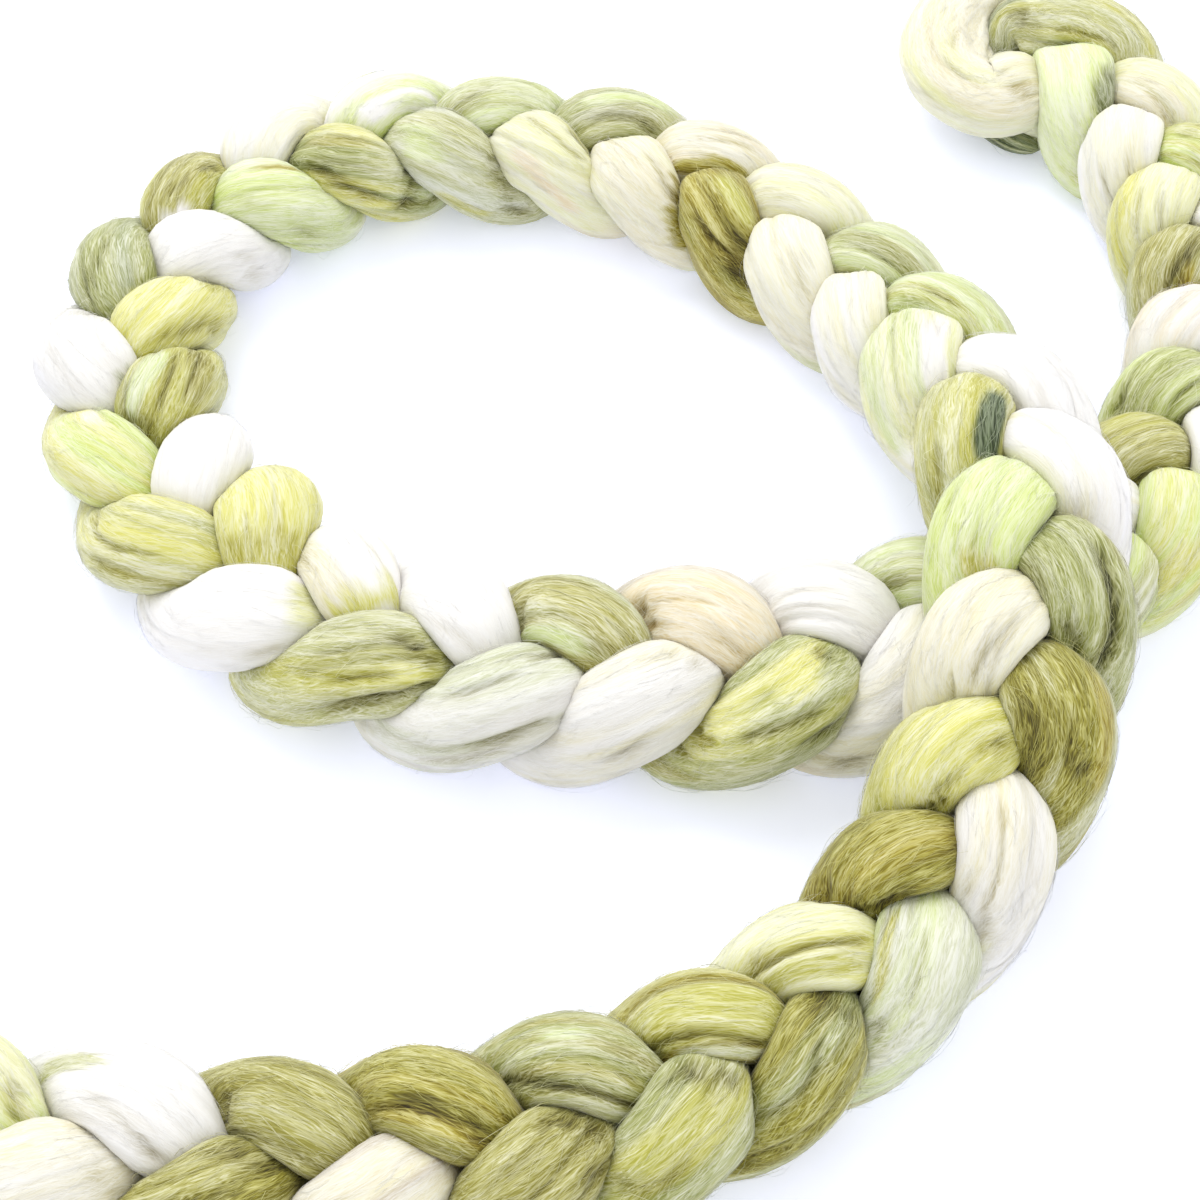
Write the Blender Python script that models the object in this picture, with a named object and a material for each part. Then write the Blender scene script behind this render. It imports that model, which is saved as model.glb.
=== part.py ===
"""A plait of combed wool top, lying on a table.

Three thick, soft strands are plaited into one flat braid. The braid comes in from the left,
climbs over itself, runs round a loop, passes under its own start and ends in a tucked head.
Metres, +Z up. The braid rests on z = 0 and the origin is under the middle of its box.

The braid is counted in lobes. Lobe n is the n-th bulge that shows on top, even ones on the left
of the way the braid was made and odd ones on the right. Strand k makes lobes k, k + 3, k + 6 ...
so a strand swings from side to side once in six lobes.
"""

import bpy
import numpy as np

# ---- driving sizes, metres ------------------------------------------------------------------
MM = 0.001
LOBES_PER_SWING = 6.0  # a strand is back on its side after six lobes
LOBES_PER_PASS = LOBES_PER_SWING / 2  # and passes under the others twice on the way
SWING = 0.0154  # a strand's middle goes this far to each side of the braid's middle
WEAVE = 0.0086  # and this far above and below it
HALF_WIDTH = 0.0186  # half of a loose strand's width
HALF_HEIGHT = 0.0133  # half of its height
FLATTENED = HALF_WIDTH / HALF_HEIGHT
SETTLED = 0.0042  # how much the lowest strands are pressed flat on the table
MID_HEIGHT = HALF_HEIGHT + WEAVE - SETTLED  # the braid's middle above the table
GAP = 0.0036  # aimed clearance between strands; the flat facets between rings use up most of it
FOLD_SLACK = 0.0006  # how far a ring may reach past the middle of a tight bend

# ---- how the braid lies: a row for every three lobes ------------------------------------------
ROUTE_COLUMNS = ("lobe", "x_mm", "y_mm", "lift_mm", "fullness")
ROUTE = (
    (-9, -340, 236, 0, 1.00),
    (-6, -286, 217, 0, 1.00),
    (-3, -231, 199, 0, 1.00),
    (0, -174, 186, 0, 1.00),
    (3, -103, 180, 0, 1.00),
    (6, -41, 183, 0, 0.98),
    (9, 20, 201, 0, 0.97),
    (12, 70, 231, 2, 0.98),
    (15, 108, 276, 14, 0.96),
    (18, 129, 329, 33, 0.97),
    (21, 135, 391, 33, 1.00),
    (24, 119, 458, 12, 1.02),
    (27, 91, 506, 1, 1.03),
    (30, 51, 548, 0, 1.02),
    (33, 0, 575, 0, 1.00),
    (36, -63, 584, 0, 1.00),
    (39, -120, 566, 0, 1.03),
    (42, -158, 522, 0, 1.03),
    (45, -167, 463, 0, 1.03),
    (48, -145, 408, 0, 1.04),
    (51, -105, 369, 0, 1.07),
    (54, -47, 344, 0, 1.07),
    (57, 15, 339, 0, 1.06),
    (60, 78, 346, 0, 1.02),
    (63, 129, 368, 0, 1.00),
    (66, 171, 391, 0, 0.98),
    (69, 202, 431, 0, 0.97),
    (72, 222, 480, 0, 0.94),
    (75, 223, 529, 0, 0.93),
    (78, 211, 577, 0, 0.97),
    (81, 184, 629, 0, 1.05),
    (84, 136, 652, 0, 1.00),
)
# Lobes that are plumper or thinner than the braid around them, and lobes that stand out further
# from its middle, or less, as on the outer side of a bend, where they are pulled tight.
PLUMPER = {
    0: 0.93, 1: 1.12, 4: 0.95, 11: 0.92, 24: 1.10, 26: 0.93, 31: 0.93, 35: 0.93, 41: 0.92,
    47: 0.93, 48: 1.05, 49: 0.94, 50: 1.10, 53: 0.97, 58: 1.05, 59: 1.06, 60: 1.05, 61: 1.08,
}
WIDER = {
    4: 0.82, 10: 0.92, 11: 0.68, 13: 0.80, 15: 0.85, 19: 0.88, 24: 0.88, 25: 0.75, 27: 0.75,
    29: 0.75, 30: 0.95, 31: 0.62, 32: 0.94, 33: 0.90, 35: 0.60, 39: 0.90, 41: 0.52, 42: 0.88,
    43: 0.80, 45: 0.94, 47: 0.92, 50: 1.20, 53: 0.82, 58: 1.15, 59: 1.20, 61: 1.25, 67: 0.80,
    80: 0.80,
}

# Two strands leave the plait at the head: a row every TAIL_STEP lobes after the lobe they leave.
TAIL_STEP = 0.65
TAIL_COLUMNS = ("x_mm", "y_mm", "z_mm", "fullness")
TAILS = {
    "strand_a": (
        81.0,  # dives under the wrap and shows its tip in front of it
        (
            (180, 641, 27, 0.95),
            (167, 645, 23, 0.80),
            (156, 635, 11, 0.50),
            (154, 617, 6, 0.40),
            (165, 602, 6, 0.44),
            (177, 594, 5, 0.42),
        ),
    ),
    "strand_b": (
        80.6,  # swells up as it comes out, wraps round the head and is tucked in behind it
        (
            (166, 612, 20, 1.00),
            (153, 608, 20, 0.94),
            (141, 617, 21, 0.94),
            (139, 634, 21, 0.97),
            (146, 651, 22, 0.97),
            (160, 665, 22, 0.90),
            (178, 670, 20, 0.75),
            (194, 662, 17, 0.60),
        ),
    ),
}

# ---- the strands: first and last lobe, and colour -----------------------------------------------
STRANDS = (  # name, first lobe, last lobe, colour
    ("strand_a", -7.6, 84.8, (0.80, 0.77, 0.62)),
    ("strand_b", -6.6, 85.8, (0.67, 0.70, 0.42)),
    ("strand_c", -8.6, 82.4, (0.58, 0.58, 0.24)),
)
TIP = 0.75  # a tip is rounded off over this many lobes
ROUGHNESS = 0.85

# ---- how finely the solids are cut --------------------------------------------------------------
SIDES = 12
RINGS_PER_PASS = 7  # rings from one low pass of a strand to its next
TIP_RINGS = (0.04, 0.16, 0.38)  # extra rings on each tip, in lobes from its end
SAMPLE_STEP = 0.15  # lobes between the points that stand for a neighbour's middle line
REACH = 3.2  # a ring looks this many lobes ahead and back for its neighbours
OWN_REACH = 2.0  # and counts its own strand this far as itself
BATCH = 6  # rings worked out together
MEETINGS = (((10, 29), (56, 73)), ((77, 90), (77, 90)))  # stretches of lobes that touch
HALVINGS = 14
AHEAD = 0.1  # lobes ahead and back that give the braid's direction
STEP = 0.02  # and a strand's
ON_TABLE = 1e-5  # anything lower than this lies on the table
TINY = 1e-9

ORIGIN = np.array((-0.043, 0.415))  # the middle of the braid's box, in the route's numbers


def along(rows, knot):
    """A smooth curve through evenly spaced rows (Catmull-Rom), read at real row numbers."""
    rows = np.asarray(rows, float)
    ends = np.vstack([2 * rows[0] - rows[1], rows, 2 * rows[-1] - rows[-2]])
    i = np.clip(np.floor(knot).astype(int), 0, len(rows) - 2)
    u = (knot - i)[..., None]
    a, b, c, d = ends[i], ends[i + 1], ends[i + 2], ends[i + 3]
    return b + 0.5 * u * (c - a + u * (2 * a - 5 * b + 4 * c - d + u * (3 * (b - c) + d - a)))


def columns(names, rows):
    """The columns of a table by name; those whose names end in _mm turn into metres."""
    table = dict(zip(names, np.array(rows, float).T))
    return {name: line * MM if name.endswith("_mm") else line for name, line in table.items()}


def braid(lobe):
    """The braid's middle line on the table: place, left-hand direction, lift and fullness."""
    route = columns(ROUTE_COLUMNS, ROUTE)
    first, second = route["lobe"][:2]
    rows = np.column_stack([route[name] for name in ROUTE_COLUMNS[1:]])

    def read(n):
        return along(rows, (n - first) / (second - first))

    here, way = read(lobe), (read(lobe + AHEAD) - read(lobe - AHEAD))[..., :2]
    way /= np.linalg.norm(way, axis=-1, keepdims=True)
    left = np.stack([-way[..., 1], way[..., 0]], -1)
    return here[..., :2] - ORIGIN, left, here[..., 2], here[..., 3]


def plaited(strand, lobe):
    """A strand that keeps to the plait: it swings sideways as a sine and rises and sinks twice
    as often, over the others on its way in and under them on its way out."""
    place, left, lift, fullness = braid(lobe)
    side = 1 if strand % 2 == 0 else -1
    turn = 2 * np.pi * (lobe - strand) / LOBES_PER_SWING + 0.75 * np.pi
    own_lobes = np.arange(strand + ROUTE[0][0] - len(STRANDS), ROUTE[-1][0], len(STRANDS))
    wide = np.interp(lobe, own_lobes, [WIDER.get(n, 1) for n in own_lobes.tolist()])
    plump = np.interp(lobe, own_lobes, [PLUMPER.get(n, 1) for n in own_lobes.tolist()])
    out = side * SWING * fullness * wide * np.sin(turn)
    height = MID_HEIGHT + lift - WEAVE * np.sin(2 * turn)
    middle = np.concatenate([place + out[..., None] * left, height[..., None]], -1)
    return middle, HALF_WIDTH * fullness * plump


def strand_line(strand, lobe):
    """The middle line and half width of a strand: plaited, then its tail if it has one."""
    name, first, last, _ = STRANDS[strand]
    middle, radius = plaited(strand, lobe)
    if name in TAILS:
        leaves, rows = TAILS[name]
        lead_in = leaves + TAIL_STEP * np.array([-1.0, 0.0])
        path = columns(TAIL_COLUMNS, rows)
        rows = np.column_stack([path[name] for name in TAIL_COLUMNS]) * (1, 1, 1, HALF_WIDTH)
        rows[:, :2] -= ORIGIN
        rows = np.vstack([np.column_stack(plaited(strand, lead_in)), rows])
        tail = along(rows, np.maximum((lobe - lead_in[0]) / TAIL_STEP, 0))
        on_tail = lobe > leaves
        middle = np.where(on_tail[..., None], tail[..., :3], middle)
        radius = np.where(on_tail, tail[..., 3], radius)
    to_tip = np.clip(np.minimum(lobe - first, last - lobe) / TIP, 0, 1)
    return middle, radius * np.sqrt(1 - (1 - to_tip) ** 2)


def ring_lobes(strand):
    """Where a strand's rings stand: evenly, with each low pass between two of them so that it
    lies flat, but for the closer ones that round its tips."""
    _, first, last, _ = STRANDS[strand]
    step = LOBES_PER_PASS / RINGS_PER_PASS
    start = strand + LOBES_PER_PASS / 2 + step / 2
    inner = start + step * np.arange((first - start) // step, (last - start) // step + 1)
    inner = inner[(inner > first + TIP) & (inner < last - TIP)]
    tips = np.array(TIP_RINGS)
    return np.concatenate([first + tips, inner, last - tips[::-1]])


def neighbours(low, high):
    """Points on the middle lines of all the strands near the lobes low to high."""
    spans = [(low - REACH, high + REACH)]
    for one, other in MEETINGS:
        if one[0] < high and low < one[1]:
            spans.append(other)
        if other[0] < high and low < other[1]:
            spans.append(one)
    found = []
    for strand, (_, first, last, _) in enumerate(STRANDS):
        lobe = np.arange(first + SAMPLE_STEP, last, SAMPLE_STEP)
        lobe = lobe[np.any([(lobe > a) & (lobe < b) for a, b in spans], axis=0)]
        middle, radius = strand_line(strand, lobe)
        owner = np.full(len(lobe), strand)
        found.append(np.column_stack([middle * (1, 1, FLATTENED), radius, owner, lobe]))
    found = np.concatenate(found)
    return found[:, :3], found[:, 3], found[:, 4], found[:, 5]


def strand_rings(strand, lobe):
    """The strand's surface as rings of points. A ring is an ellipse across the strand, cut back
    to where a neighbour's middle line, measured in its own half widths, comes as near."""
    stretch = np.array((1, 1, FLATTENED))
    middle, radius = strand_line(strand, lobe)
    way = (strand_line(strand, lobe + STEP)[0] - strand_line(strand, lobe - STEP)[0]) * stretch
    middle = middle * stretch
    across = np.cross(way, (0, 0, 1.0))
    across /= np.linalg.norm(across, axis=-1, keepdims=True)
    upward = np.cross(across, way / np.linalg.norm(way, axis=-1, keepdims=True))
    angle = 2 * np.pi * (np.arange(SIDES) + 0.5) / SIDES
    spoke = np.cos(angle)[:, None] * across[:, None] + np.sin(angle)[:, None] * upward[:, None]
    floor = np.where(spoke[..., 2] < 0, middle[:, None, 2] / np.maximum(-spoke[..., 2], TINY), 1)
    free = np.minimum(radius[:, None], floor)
    reach = free.copy()
    for start in range(0, len(lobe), BATCH):
        rows = slice(start, start + BATCH)
        points, radii, owners, lobes = neighbours(lobe[rows].min(), lobe[rows].max())
        mine = (owners == strand) & (np.abs(lobes - lobe[rows, None]) < OWN_REACH)
        mine = mine[:, None]

        def clear(out):
            place = middle[rows, None] + spoke[rows] * out[..., None]
            away = np.linalg.norm(place[:, :, None] - points, axis=-1) / radii
            margin = np.where(mine, -FOLD_SLACK, GAP) / radius[rows, None, None]
            return (away > out[..., None] / radius[rows, None, None] + margin).all(-1)

        near, far = np.zeros_like(free[rows]), free[rows].copy()
        whole = clear(far)
        for _ in range(HALVINGS):
            half = (near + far) / 2
            good = clear(half)
            near, far = np.where(good, half, near), np.where(good, far, half)
        reach[rows] = np.where(whole, free[rows], near)
    rings = (middle[:, None] + spoke * reach[..., None]) / stretch
    rings[..., 2] = np.where(rings[..., 2] < ON_TABLE, 0, rings[..., 2])
    return rings


def closed_tube(rings):
    """Vertices and faces of a closed tube: quads between rings and a fan on each end."""
    count, sides = rings.shape[:2]
    corner = np.arange(count * sides).reshape(count, sides)
    beside = np.roll(corner, -1, axis=1)
    quads = np.stack([corner[:-1], corner[1:], beside[1:], beside[:-1]], -1).reshape(-1, 4)
    ends = np.stack([rings[0].mean(0), rings[-1].mean(0)])
    tip = count * sides
    first = [(a, b, tip) for a, b in zip(corner[0], beside[0])]
    last = [(b, a, tip + 1) for a, b in zip(corner[-1], beside[-1])]
    vertices = np.concatenate([rings.reshape(-1, 3), ends])
    return vertices, [tuple(q) for q in quads.tolist()] + first + last


def wool(name, colour):
    """A matt wool material in the strand's average dye colour."""
    material = bpy.data.materials.new(name)
    material.use_nodes = True
    shader = material.node_tree.nodes["Principled BSDF"]
    shader.inputs["Base Color"].default_value = (*colour, 1)
    shader.inputs["Roughness"].default_value = ROUGHNESS
    shader.inputs["Metallic"].default_value = 0
    return material


def build_strand(index):
    name, _, _, colour = STRANDS[index]
    vertices, faces = closed_tube(strand_rings(index, ring_lobes(index)))
    mesh = bpy.data.meshes.new(name)
    mesh.from_pydata(vertices.tolist(), [], faces)
    mesh.validate()
    mesh.shade_smooth()
    mesh.materials.append(wool(f"{name}_wool", colour))
    strand = bpy.data.objects.new(name, mesh)
    bpy.context.scene.collection.objects.link(strand)


for leftover in list(bpy.data.objects):
    bpy.data.objects.remove(leftover)
for strand_index in range(len(STRANDS)):
    build_strand(strand_index)
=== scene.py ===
import math

import bpy
import numpy as np
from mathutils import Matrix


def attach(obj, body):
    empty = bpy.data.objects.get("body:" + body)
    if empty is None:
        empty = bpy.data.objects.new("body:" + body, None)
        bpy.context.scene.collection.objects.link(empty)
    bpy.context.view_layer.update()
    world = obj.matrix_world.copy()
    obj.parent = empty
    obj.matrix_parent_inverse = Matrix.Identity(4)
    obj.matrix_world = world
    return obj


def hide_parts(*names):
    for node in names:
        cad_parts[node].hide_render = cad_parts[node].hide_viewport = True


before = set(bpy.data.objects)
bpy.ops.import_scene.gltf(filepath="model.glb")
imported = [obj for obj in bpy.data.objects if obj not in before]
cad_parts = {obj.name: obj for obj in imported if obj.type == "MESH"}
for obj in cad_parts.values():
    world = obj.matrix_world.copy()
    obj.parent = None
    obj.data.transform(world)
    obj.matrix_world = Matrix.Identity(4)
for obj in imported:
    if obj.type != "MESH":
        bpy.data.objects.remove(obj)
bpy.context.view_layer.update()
scene = bpy.context.scene


# ---- The camera -------------------------------------------------------------------------------
# It stands in front of the open loop, 56 cm above the table, and looks down at the braid with
# a 60 mm lens. Both ends of the braid and its right-hand run reach past the frame's edges.

camera_data = bpy.data.cameras.new("camera")
camera_data.lens = 60
camera_data.sensor_width = 36
camera = bpy.data.objects.new("camera", camera_data)
camera.location = (0.043, -0.415, 0.56)
camera.rotation_euler = (math.radians(90 - 55.7), 0, 0)
scene.collection.objects.link(camera)
scene.camera = camera


# ---- The lie of the braid ---------------------------------------------------------------------
# One length of combed top is folded in three and plaited by hand into a soft flat braid, which
# is then dropped on the table in a loop over itself. Lobes are counted from the open start: even
# ones bulge on the left of the way the braid was made, odd ones on the right.

STRANDS = ("strand_a", "strand_b", "strand_c")
FIRST_LOBE = (-7.6, -6.6, -8.6)
LAST_LOBE = (84.8, 85.8, 82.4)
TIP = 0.75  # lobes over which a strand's end is rounded off
SWING = 0.0154  # how far a strand goes to each side of the braid's middle line
WEAVE = 0.0086  # how far it goes up and down
HALF_WIDTH = 0.0186  # of a strand
HALF_HEIGHT = 0.0133
SETTLED = 0.0042  # how much the lowest strands are pressed flat on the table
MID_HEIGHT = HALF_HEIGHT + WEAVE - SETTLED
FLATTENED = HALF_WIDTH / HALF_HEIGHT
MIDDLE = np.array((-0.043, 0.415))  # the middle of the whole braid's box, in the rows' own frame

# lobe, x mm, y mm, lift mm, fullness
ROUTE = np.array((
    (-9, -340, 236, 0, 1.00),
    (-6, -286, 217, 0, 1.00),
    (-3, -231, 199, 0, 1.00),
    (0, -174, 186, 0, 1.00),
    (3, -103, 180, 0, 1.00),
    (6, -41, 183, 0, 0.98),
    (9, 20, 201, 0, 0.97),
    (12, 70, 231, 2, 0.98),
    (15, 108, 276, 14, 0.96),
    (18, 129, 329, 33, 0.97),
    (21, 135, 391, 33, 1.00),
    (24, 119, 458, 12, 1.02),
    (27, 91, 506, 1, 1.03),
    (30, 51, 548, 0, 1.02),
    (33, 0, 575, 0, 1.00),
    (36, -63, 584, 0, 1.00),
    (39, -120, 566, 0, 1.03),
    (42, -158, 522, 0, 1.03),
    (45, -167, 463, 0, 1.03),
    (48, -145, 408, 0, 1.04),
    (51, -105, 369, 0, 1.07),
    (54, -47, 344, 0, 1.07),
    (57, 15, 339, 0, 1.06),
    (60, 78, 346, 0, 1.02),
    (63, 129, 368, 0, 1.00),
    (66, 171, 391, 0, 0.98),
    (69, 202, 431, 0, 0.97),
    (72, 222, 480, 0, 0.94),
    (75, 223, 529, 0, 0.93),
    (78, 211, 577, 0, 0.97),
    (81, 184, 629, 0, 1.05),
    (84, 136, 652, 0, 1.00),
)) * (1, 0.001, 0.001, 0.001, 1)
# By lobe: how much fuller the strand is, and how much farther out it lies, than elsewhere.
PLUMPER = {
    0: 0.93, 1: 1.12, 4: 0.95, 11: 0.92, 24: 1.10, 26: 0.93, 31: 0.93, 35: 0.93, 41: 0.92,
    47: 0.93, 48: 1.05, 49: 0.94, 50: 1.10, 53: 0.97, 58: 1.05, 59: 1.06, 60: 1.05, 61: 1.08,
}
WIDER = {
    4: 0.82, 10: 0.92, 11: 0.68, 13: 0.80, 15: 0.85, 19: 0.88, 24: 0.88, 25: 0.75, 27: 0.75,
    29: 0.75, 30: 0.95, 31: 0.62, 32: 0.94, 33: 0.90, 35: 0.60, 39: 0.90, 41: 0.52, 42: 0.88,
    43: 0.80, 45: 0.94, 47: 0.92, 50: 1.20, 53: 0.82, 58: 1.15, 59: 1.20, 61: 1.25, 67: 0.80,
    80: 0.80,
}

# At the head two strands leave the plait. Rows of x mm, y mm, z mm, fullness, TAIL_STEP apart.
TAIL_STEP = 0.65
TAILS = {
    "strand_a": (81.0, (
        (180, 641, 27, 0.95),
        (167, 645, 23, 0.80),
        (156, 635, 11, 0.50),
        (154, 617, 6, 0.40),
        (165, 602, 6, 0.44),
        (177, 594, 5, 0.42),
    )),
    "strand_b": (80.6, (
        (166, 612, 20, 1.00),
        (153, 608, 20, 0.94),
        (141, 617, 21, 0.94),
        (139, 634, 21, 0.97),
        (146, 651, 22, 0.97),
        (160, 665, 22, 0.90),
        (178, 670, 20, 0.75),
        (194, 662, 17, 0.60),
    )),
}


def along(rows, knot):
    """A smooth curve through evenly spaced rows: the cubic whose slope at each row is half the
    step between the rows on either side of it."""
    rows = np.asarray(rows, float)
    ends = np.vstack([2 * rows[0] - rows[1], rows, 2 * rows[-1] - rows[-2]])
    i = np.clip(np.floor(knot).astype(int), 0, len(rows) - 2)
    u = (knot - i)[..., None]
    a, b, c, d = ends[i], ends[i + 1], ends[i + 2], ends[i + 3]
    return b + 0.5 * u * (c - a + u * (2 * a - 5 * b + 4 * c - d + u * (3 * (b - c) + d - a)))


def braid(lobe):
    """The braid's middle line: place on the table, left-hand direction, lift and fullness."""

    def read(n):
        return along(ROUTE[:, 1:], (n - ROUTE[0, 0]) / (ROUTE[1, 0] - ROUTE[0, 0]))

    here, way = read(lobe), (read(lobe + 0.1) - read(lobe - 0.1))[..., :2]
    way /= np.linalg.norm(way, axis=-1, keepdims=True)
    left = np.stack([-way[..., 1], way[..., 0]], -1)
    return here[..., :2] - MIDDLE, left, here[..., 2], here[..., 3]


def plaited(strand, lobe):
    """A strand in the plait: sideways it is a sine with a period of six lobes, and up and down
    a sine of half that period, so it goes over on its way in and under on its way out."""
    place, left, lift, fullness = braid(lobe)
    side = 1 if strand % 2 == 0 else -1
    turn = math.pi / 3 * (lobe - strand) + 0.75 * math.pi
    own_lobes = np.arange(strand - 12, 87, 3)
    wide = np.interp(lobe, own_lobes, [WIDER.get(n, 1) for n in own_lobes.tolist()])
    plump = np.interp(lobe, own_lobes, [PLUMPER.get(n, 1) for n in own_lobes.tolist()])
    out = side * SWING * fullness * wide * np.sin(turn)
    height = MID_HEIGHT + lift - WEAVE * np.sin(2 * turn)
    middle = np.concatenate([place + out[..., None] * left, height[..., None]], -1)
    return middle, HALF_WIDTH * fullness * plump


def strand_line(strand, lobe):
    """The middle line and half width of a strand: plaited, then its tail if it has one. The half
    width falls to nothing at each end as a quarter circle."""
    middle, radius = plaited(strand, lobe)
    if STRANDS[strand] in TAILS:
        leaves, rows = TAILS[STRANDS[strand]]
        lead_in = leaves + TAIL_STEP * np.array([-1.0, 0.0])
        rows = np.array(rows) * (0.001, 0.001, 0.001, HALF_WIDTH)
        rows[:, :2] -= MIDDLE
        rows = np.vstack([np.column_stack(plaited(strand, lead_in)), rows])
        tail = along(rows, np.maximum((lobe - lead_in[0]) / TAIL_STEP, 0))
        middle = np.where((lobe > leaves)[..., None], tail[..., :3], middle)
        radius = np.where(lobe > leaves, tail[..., 3], radius)
    to_tip = np.minimum(lobe - FIRST_LOBE[strand], LAST_LOBE[strand] - lobe)
    return middle, radius * np.sqrt(1 - (1 - np.clip(to_tip / TIP, 0, 1)) ** 2)


# ---- The three strands ------------------------------------------------------------------------
# Combed top is a loose rope of parallel wool fibres as thick as two fingers. Plaited, the strands
# press each other flat where they cross and swell between, and part into bundles along their
# length. They stand for the three CAD solids, on the same lines.

MEETINGS = (((10, 29), (56, 73)), ((77, 90), (77, 90)))  # lobes that touch others out of turn
ROWS, SIDES = 900, 96  # of the surface
COARSE_STEP, COARSE_SIDES = 0.2, 40  # of the grid on which the room between strands is found
REACH_TURNS = 8  # halvings of a spoke


def curve_weights(part):
    """The four weights of the smooth curve through evenly spaced values, part way between the
    second and the third."""
    return np.stack([
        ((2 - part) * part - 1) * part / 2,
        ((3 * part - 5) * part * part + 2) / 2,
        ((4 - 3 * part) * part + 1) * part / 2,
        (part - 1) * part * part / 2,
    ])


def read_grid(grid, row, column):
    """A smooth surface through a grid's values, read between them. Rows stop at the ends and
    columns go round."""
    i, j = np.floor(row).astype(int), np.floor(column).astype(int)
    down, across = curve_weights(row - i), curve_weights(column - j)
    total = 0
    for a in range(4):
        at = np.clip(i + a - 1, 0, len(grid) - 1)
        for b in range(4):
            weight = down[a] * across[b]
            value = grid[at, (j + b - 1) % grid.shape[1]]
            total = total + (weight[..., None] if grid.ndim == 3 else weight) * value
    return total


def softened(grid, turns):
    """Each value becomes half itself and a quarter of each neighbour, along and then around."""
    for _ in range(turns):
        above = np.vstack([grid[:1], grid[:-1]])
        below = np.vstack([grid[1:], grid[-1:]])
        grid = grid / 2 + (above + below) / 4
        grid = grid / 2 + (np.roll(grid, 1, 1) + np.roll(grid, -1, 1)) / 4
    return grid


def unevenness(seed, lobe, angle, spacing, patches):
    """Smooth random heights with one free value every spacing lobes and so many patches round
    the strand."""
    values = np.random.default_rng(seed).normal(size=(int(110 / spacing), patches))
    return read_grid(values, (lobe + 11) / spacing, angle / (2 * math.pi) * patches)


def neighbours(low, high):
    """Points on the middle lines of all the strands near the lobes low to high."""
    spans = [(low - 3.2, high + 3.2)]
    for one, other in MEETINGS:
        if one[0] < high and low < one[1]:
            spans.append(other)
        if other[0] < high and low < other[1]:
            spans.append(one)
    found = []
    for strand in range(3):
        lobe = np.arange(FIRST_LOBE[strand] + 0.15, LAST_LOBE[strand], 0.15)
        lobe = lobe[np.any([(lobe > a) & (lobe < b) for a, b in spans], axis=0)]
        middle, radius = strand_line(strand, lobe)
        owner = np.full(len(lobe), strand)
        found.append(np.column_stack([middle * (1, 1, FLATTENED), radius, owner, lobe]))
    found = np.concatenate(found)
    return found[:, :3], found[:, 3], found[:, 4], found[:, 5]


def spokes(strand, lobe, angle):
    """Middle points, half widths and spoke directions of rings across a strand, in a space
    stretched upward so that the strand is round."""
    stretch = np.array((1, 1, FLATTENED))
    middle, radius = strand_line(strand, lobe)
    way = (strand_line(strand, lobe + 0.15)[0] - strand_line(strand, lobe - 0.15)[0]) * stretch
    across = np.cross(way, (0, 0, 1.0))
    across /= np.linalg.norm(across, axis=-1, keepdims=True)
    upward = np.cross(across, way / np.linalg.norm(way, axis=-1, keepdims=True))
    spoke = np.cos(angle)[..., None] * across[:, None] + np.sin(angle)[..., None] * upward[:, None]
    return middle * stretch, radius, spoke


def fill_of(strand, lobe, angle):
    """How far each spoke reaches before a neighbour's middle line or the table comes as near, as
    a share of the half width. Halving the spoke again and again finds it."""
    middle, radius, spoke = spokes(strand, lobe, angle)
    down = np.maximum(-spoke[..., 2], 1e-9)
    free = np.minimum(radius[:, None], np.where(spoke[..., 2] < 0, middle[:, None, 2] / down, 1))
    reach = free.copy()
    for start in range(0, len(lobe), 8):
        rows = slice(start, start + 8)
        points, radii, owners, lobes = neighbours(lobe[rows].min(), lobe[rows].max())
        mine = (owners == strand) & (np.abs(lobes - lobe[rows, None]) < 2.0)
        margin = np.where(mine, -0.0006, -0.0003)[:, None] / radius[rows, None, None]

        def clear(out):
            place = middle[rows, None] + spoke[rows] * out[..., None]
            away = np.linalg.norm(place[:, :, None] - points, axis=-1) / radii
            return (away > out[..., None] / radius[rows, None, None] + margin).all(-1)

        near, far = np.zeros_like(free[rows]), free[rows].copy()
        whole = clear(far)
        for _ in range(REACH_TURNS):
            half = (near + far) / 2
            good = clear(half)
            near, far = np.where(good, half, near), np.where(good, far, half)
        reach[rows] = np.where(whole, free[rows], near)
    return reach / radius[:, None]


def bundles(seed, lobe, angle, count, groove):
    """Ridges of a strand that lies in bundles of fibres: the middles of the bundles wander to
    and fro along the strand, and a groove runs wherever two of them are equally near. Gives the
    groove, 1 at its bottom and 0 on the bundles."""
    rng = np.random.default_rng(seed)
    knots = rng.normal(0, 0.32, (100, count))
    wander = along(knots, (lobe + 11) / 1.1)
    middles = (np.arange(count) + wander) * 2 * math.pi / count
    away = np.abs((angle[:, :, None] - middles[:, None] + math.pi) % (2 * math.pi) - math.pi)
    away = np.partition(away, 1, axis=-1)
    return np.exp(-(((away[..., 1] - away[..., 0]) / groove) ** 2))


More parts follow.
